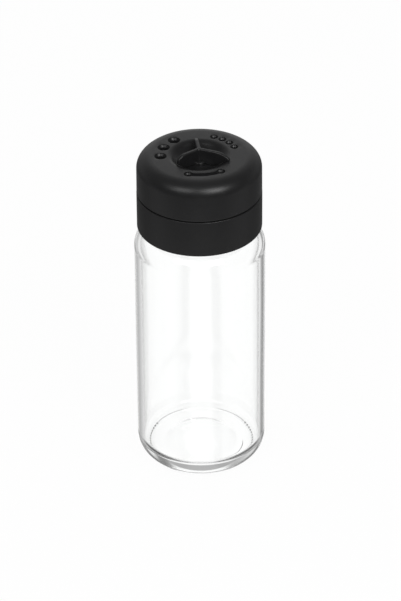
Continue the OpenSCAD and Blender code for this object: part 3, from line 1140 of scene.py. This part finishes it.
@dataclass
class SelectorKnob:
    """Two short wings and a pointer that meet over the dish, on a stem."""

    wings: tuple[Wing, ...] = (Wing(9.4, 5.0, 10.3), Wing(9.4, 6.4, 10.2), Wing(11.5, 6.0, 12.4))
    first: float = 97.5
    thickness: float = 1.35
    crest_drop: float = 1.5
    web: float = 0.9
    edge: float = 0.45
    gap: float = 0.3
    side_steps: int = 26
    tip_steps: int = 10
    web_steps: int = 8
    edge_steps: int = 6
    sharp: float = 50.0
    stem: float = 2.6
    tip: float = 2.0
    tip_flare: float = 0.1
    tip_round: float = 0.15
    tip_rise: float = 0.8
    boss: float = 1.0
    boss_round: float = 0.3
    dish: DishShape = DishShape()

    def outline(self, inset: float) -> Section:
        """The plan of the three wings, with filleted roots and round ends.

        Args:
            inset: How far the outline is drawn in all round.

        Returns:
            The points, counter-clockwise, as many for every inset.
        """
        half = self.thickness / 2 - inset
        web = self.web + inset
        pitch = 360 / len(self.wings)
        root = (web + half) / sin(radians(pitch / 2))
        base = root * cos(radians(pitch / 2))
        points: Section = []
        for i, wing in enumerate(self.wings):
            at = radians(self.first + i * pitch)
            end_r = wing.tip - self.thickness / 2
            right = [(base + (end_r - base) * k / self.side_steps, -half) for k in range(self.side_steps + 1)]
            left = [(x, -y) for x, y in reversed(right)]
            tip = arc((end_r, 0), half, -90, 90, self.tip_steps)[1:-1]
            web_arc = arc((base, root * sin(radians(pitch / 2))), web, 270, 90 + pitch, self.web_steps)
            for x, y in (*right, *tip, *left, *web_arc[1:-1]):
                points.append((x * cos(at) - y * sin(at), x * sin(at) + y * cos(at)))
        return points

    def lids(self) -> list[tuple[int, ...]]:
        """Faces that close the top and the underside, strip by strip along each wing.

        Returns:
            The faces, as numbers of their points in one loop.
        """
        wing = 2 * (self.side_steps + 1) + self.tip_steps + self.web_steps - 2
        far = self.side_steps
        back = 2 * far + self.tip_steps
        hub = wing * len(self.wings)
        faces: list[tuple[int, ...]] = []
        inner: list[int] = []
        for i in range(len(self.wings)):
            at = i * wing
            faces += [(at + k, at + k + 1, at + back - k - 1, at + back - k)
                      for k in range(far + self.tip_steps // 2 - 1)]
            middle = at + far + self.tip_steps // 2
            faces.append((middle - 1, middle, middle + 1))
            inner += [at, *range(at + back, at + wing)]
        faces += [(a, b, hub) for a, b in zip(inner, inner[1:] + inner[:1])]
        return faces

    def loops(self, top: float) -> list[list[Vector]]:
        """The wings' outlines from their underside to their top, each with a hub point.

        Args:
            top: Height of the knob.

        Returns:
            The loops, from the lowest to the highest.
        """
        def under(x: float, y: float) -> float:
            """Height of the wings' underside."""
            return self.dish.height(hypot(x, y), -self.gap)

        def over(x: float, y: float, drop: float) -> float:
            """Height of the wings' upper side.

            Args:
                x: Where it is asked for.
                y: The same.
                drop: How much lower a rounded edge is there.

            Returns:
                The height.
            """
            turned = degrees(atan2(y, x)) - self.first
            wing = self.wings[round(turned / (360 / len(self.wings))) % len(self.wings)]
            tall = wing.crest(hypot(x, y), plate_mm() - self.crest_drop, top) - under(x, y)
            return under(x, y) + tall - drop * min(1.0, tall / (2 * self.edge))

        loops = [[Vector((x, y, under(x, y))) for x, y in (*self.outline(0.0), (0, 0))]]
        for i in range(self.edge_steps + 1):
            turn = radians(90 * i / self.edge_steps)
            inset, drop = self.edge * (1 - cos(turn)), self.edge * (1 - sin(turn))
            loops.append([Vector((x, y, over(x, y, drop))) for x, y in (*self.outline(inset), (0, 0))])
        return loops

    def stem_section(self, low: float) -> Section:
        """The stem's closed section.

        Args:
            low: Height of its tip.

        Returns:
            The points, from the tip up to the boss in the dish.
        """
        floor = plate_mm() - self.dish.depth
        boss_z = floor + self.boss
        shoulder = boss_z - self.boss_round
        return [(0, low), *arc((self.tip + self.tip_flare, low + self.tip_round), self.tip_round, -90, 0, 4),
                (self.tip, low + self.tip_rise), (self.tip, node_mm("retainer_clip")[1].z),
                (self.stem, floor - Shutter().under), (self.stem, shoulder),
                *arc((self.stem - self.boss_round, shoulder), self.boss_round, 0, 90, 5), (0, boss_z)]

    def build(self) -> None:
        """Builds the knob and puts it in place."""
        low, high = node_mm("selector_knob")
        knob = stack("selector_wings", self.loops(high.z), self.lids(), self.sharp)
        combine(knob, [revolve("knob_stem", self.stem_section(low.z), 96)], Cut.ADD, self.sharp)
        mount(knob, KNOB_BLACK, Body.SELECTOR, "selector_knob")


@dataclass
class Shutter:
    """The disc nested under the dish, its soft seal and the clip that holds them on the stem."""

    thickness: float = 1.4
    under: float = 1.9
    window: ArcSlot = SHUTTER_WINDOW
    window_edge: HoleEdge = HoleEdge(0.3, 0.3, 0.1)
    seal_edge: HoleEdge = HoleEdge(0.2, 0.2, 0.05)
    seal_gap: float = 0.4
    hub: float = 4.5
    socket: float = 2.45
    dish: DishShape = DishShape()
    edge: float = 0.2
    clip_bore: float = 2.05
    clip_edge: float = 0.15

    def build_disc(self) -> None:
        """Builds the shutter disc and puts it in place."""
        low, high = node_mm("shutter_disc")
        flange_low = high.z - self.thickness
        top = self.dish.bowl_curve(self.under, high.z)
        bottom = [p for p in self.dish.bowl_curve(self.under + self.thickness, flange_low) if p[0] > self.hub]
        section = [
            (self.socket, top[0][1]), *[p for p in top if p[0] > self.socket],
            *arc((high.x - self.edge, high.z - self.edge), self.edge, 90, 0, 4),
            *arc((high.x - self.edge, flange_low + self.edge), self.edge, 0, -90, 4),
            *reversed(bottom), (self.hub, bottom[0][1]),
            *arc((self.hub - self.edge, low.z + self.edge), self.edge, 0, -90, 4), (self.socket, low.z),
        ]
        disc = revolve("shutter_disc_body", section)
        combine(disc, [self.window.cutter("window_cutter", flange_low - PAST, high.z, self.window_edge)], Cut.REMOVE)
        mount(disc, SHUTTER_BLACK, Body.SELECTOR, "shutter_disc")

    def build_seal(self) -> None:
        """Builds the soft seal and puts it in place."""
        low, high = node_mm("shutter_seal")
        x, z = self.dish.centre
        inner = x + sqrt((self.dish.bowl + self.under) ** 2 - (z - low.z) ** 2) + self.seal_gap
        seal = revolve("shutter_seal_ring", ring_section(inner, high.x, low.z, high.z, self.edge))
        combine(seal, [self.window.cutter("seal_cutter", low.z - PAST, high.z, self.seal_edge)], Cut.REMOVE)
        mount(seal, SEAL_BLACK, Body.SELECTOR, "shutter_seal")

    def build_clip(self) -> None:
        """Builds the push-on clip and puts it in place."""
        low, high = node_mm("retainer_clip")
        side, edge = high.x - self.clip_edge, self.clip_edge
        section = [(self.clip_bore, low.z), *arc((side, low.z + edge), edge, -90, 0, 4),
                   *arc((side, high.z - edge), edge, 0, 90, 4), (self.clip_bore, high.z)]
        clip = revolve("retainer_clip_ring", section, 96)
        mount(clip, CLIP_STEEL, Body.SELECTOR, "retainer_clip")


# ---- Studio: camera, floor, backdrop light and lamps ----


@dataclass(frozen=True)
class CameraPlace:
    """A long lens that looks down at the shaker from the front."""

    elevation: float = 32.886
    lens: float = 209.65
    sensor: float = 36.0
    clip: Point = (0.05, 20.0)
    distance: float = 1.239
    aim: float = 0.0598
    side: float = 0.00009
    up: float = 0.00223
    roll: float = 0.0081

    def build(self) -> None:
        """Builds the camera and makes it the scene's camera."""
        tilt = radians(self.elevation)
        ahead = Vector((0, cos(tilt), -sin(tilt)))
        top = Vector((0, sin(tilt), cos(tilt)))
        right = Vector((1, 0, 0))
        data = bpy.data.cameras.new("camera")
        data.lens = self.lens
        data.sensor_width = self.sensor
        data.clip_start, data.clip_end = self.clip
        camera = place_object("camera", data)
        across = right * cos(self.roll) - top * sin(self.roll)
        above = top * cos(self.roll) + right * sin(self.roll)
        turn = Matrix((across, above, -ahead)).transposed()
        place = Vector((0, 0, self.aim)) - ahead * self.distance + right * self.side + top * self.up
        camera.matrix_world = Matrix.Translation(place) @ turn.to_4x4()
        bpy.context.scene.camera = camera


@dataclass(frozen=True)
class Studio:
    """White sweep, soft lamps and a studio world that gloss and glass see.

    The arch stops go over the studio from front to back. The side stops go from left to right.
    """

    floor_size: float = 3.0
    floor_drop: float = 0.0002
    floor_white: float = 0.97
    floor_colour: float = 0.9
    ambient: float = 0.5
    cap_height: float = 0.12
    lamp_distance: float = 0.9
    lamp_size: float = 0.42
    lamps: tuple[tuple[str, Triple, float], ...] = (("key_lamp", (0.395, -0.679, 0.619), 3.4),
                                                    ("fill_lamp", (-0.425, -0.612, 0.667), 1.6))
    gloss_arch: Stops = (
        (0.0, 0.1), (0.1, 0.12), (0.24, 0.15), (0.32, 0.2), (0.38, 0.42), (0.42, 0.62), (0.46, 0.8), (0.5, 0.6),
        (0.56, 0.28), (0.66, 0.3), (0.78, 0.8), (0.85, 0.75), (0.885, 0.35), (0.91, 0.14), (1.0, 0.1))
    gloss_sides: Stops = (
        (0.0, 0.35), (0.2, 0.45), (0.32, 0.6), (0.4, 0.85), (0.46, 1.0), (0.54, 1.0), (0.6, 0.85), (0.68, 0.6),
        (0.8, 0.4), (1.0, 0.35))
    glass_arch: Stops = (
        (0.0, 0.75), (0.3, 0.85), (0.36, 0.84), (0.46, 0.88), (0.5, 1.02), (0.55, 1.05), (0.64, 1.05),
        (0.75, 1.0), (0.85, 1.0), (1.0, 0.9))
    glass_sides: Stops = (
        (0.0, 0.72), (0.1, 0.76), (0.15, 0.82), (0.2, 0.8), (0.225, 0.66), (0.25, 0.54), (0.28, 0.5), (0.3, 0.46),
        (0.33, 0.5), (0.36, 0.74), (0.38, 0.92), (0.42, 1.0), (0.6, 1.0), (0.63, 0.95), (0.65, 0.72), (0.67, 0.36),
        (0.7, 0.22), (0.735, 0.22), (0.755, 0.5), (0.775, 0.78), (0.83, 0.85), (0.9, 0.94), (1.0, 0.92))

    def build_world(self) -> None:
        """Builds the world: white to the camera, a lit studio to gloss and glass, soft to the rest."""
        world = bpy.data.worlds.new("studio")
        world.use_nodes = True
        world.node_tree.nodes.clear()
        tree = Tree(world.node_tree)
        way = tree.add("ShaderNodeSeparateXYZ", {0: tree.add("ShaderNodeTexCoord").outputs["Generated"]}).outputs
        angle = tree.math("ARCTAN2", way[2], tree.times(way[1], -1.0))
        turned = tree.math("FRACT", tree.math("ADD", tree.math("DIVIDE", angle, tau), 1.0))
        across = tree.math("MULTIPLY_ADD", way[0], 0.5, 0.5)
        gloss, glass = (tree.times(tree.ramp(turned, arch), tree.ramp(across, sides)) for arch, sides in (
            (self.gloss_arch, self.gloss_sides), (self.glass_arch, self.glass_sides)))
        path = tree.add("ShaderNodeLightPath").outputs
        clear = tree.math("MAXIMUM", path["Is Transmission Ray"], path["Is Singular Ray"])
        soft = tree.mix(clear, tree.mix(path["Is Glossy Ray"], self.ambient, gloss), glass)
        shown = tree.grey(tree.mix(path["Is Camera Ray"], soft, 1.0))
        tree.add("ShaderNodeOutputWorld", {0: tree.out("ShaderNodeBackground", {"Color": shown, "Strength": 1.0})})
        bpy.context.scene.world = world

    def build_floor(self) -> None:
        """Builds the pale floor, which keeps a soft shadow and lets glass and gloss see the studio."""
        mesh = bmesh.new()
        bmesh.ops.create_grid(mesh, x_segments=1, y_segments=1, size=self.floor_size / 2)
        data = bpy.data.meshes.new("floor")
        mesh.to_mesh(data)
        mesh.free()
        floor = place_object("floor", data)
        floor.location.z = -self.floor_drop
        material, tree, _ = new_material("white_sweep")
        material.node_tree.nodes.clear()
        pale = (self.floor_colour, self.floor_colour, self.floor_colour, 1)
        matt = tree.out("ShaderNodeBsdfDiffuse", {"Color": pale})
        white = tree.out("ShaderNodeEmission", {"Color": (1, 1, 1, 1), "Strength": 1.0})
        path = tree.add("ShaderNodeLightPath").outputs
        shown = tree.shaders(tree.times(path["Is Camera Ray"], self.floor_white), matt, white)
        seen = tree.math("MAXIMUM", path["Is Glossy Ray"], path["Is Transmission Ray"])
        mixed = tree.shaders(seen, shown, tree.out("ShaderNodeBsdfTransparent"))
        tree.add("ShaderNodeOutputMaterial", {0: mixed})
        data.materials.append(material)

    def build_lamp(self, name: str, towards: Vector, power: float) -> None:
        """Adds a square soft lamp that points at the cap.

        Args:
            name: Name of the lamp.
            towards: Direction from the cap to the lamp.
            power: Its power, in watts.
        """
        data = bpy.data.lights.new(name, "AREA")
        data.shape = "SQUARE"
        data.size = self.lamp_size
        data.energy = power
        lamp = place_object(name, data)
        place = Vector((0, 0, self.cap_height)) + towards.normalized() * self.lamp_distance
        lamp.matrix_world = Matrix.Translation(place) @ (-towards).to_track_quat("-Z", "Y").to_matrix().to_4x4()

    def build(self) -> None:
        """Builds the floor, the world and the lamps."""
        self.build_world()
        self.build_floor()
        for name, towards, power in self.lamps:
            self.build_lamp(name, Vector(towards), power)
        bpy.context.scene.view_settings.view_transform = "Standard"


def main() -> None:
    """Builds the camera, the studio and every piece of the shaker."""
    logging.basicConfig(level=logging.INFO, format="%(name)s: %(message)s")
    for maker in (CameraPlace(), Studio(), GlassJar(), SealingLiner(), ScrewCollar(), DispenserCap(), SelectorKnob()):
        maker.build()
    shutter = Shutter()
    shutter.build_disc()
    shutter.build_seal()
    shutter.build_clip()


if __name__ == "__main__":
    main()
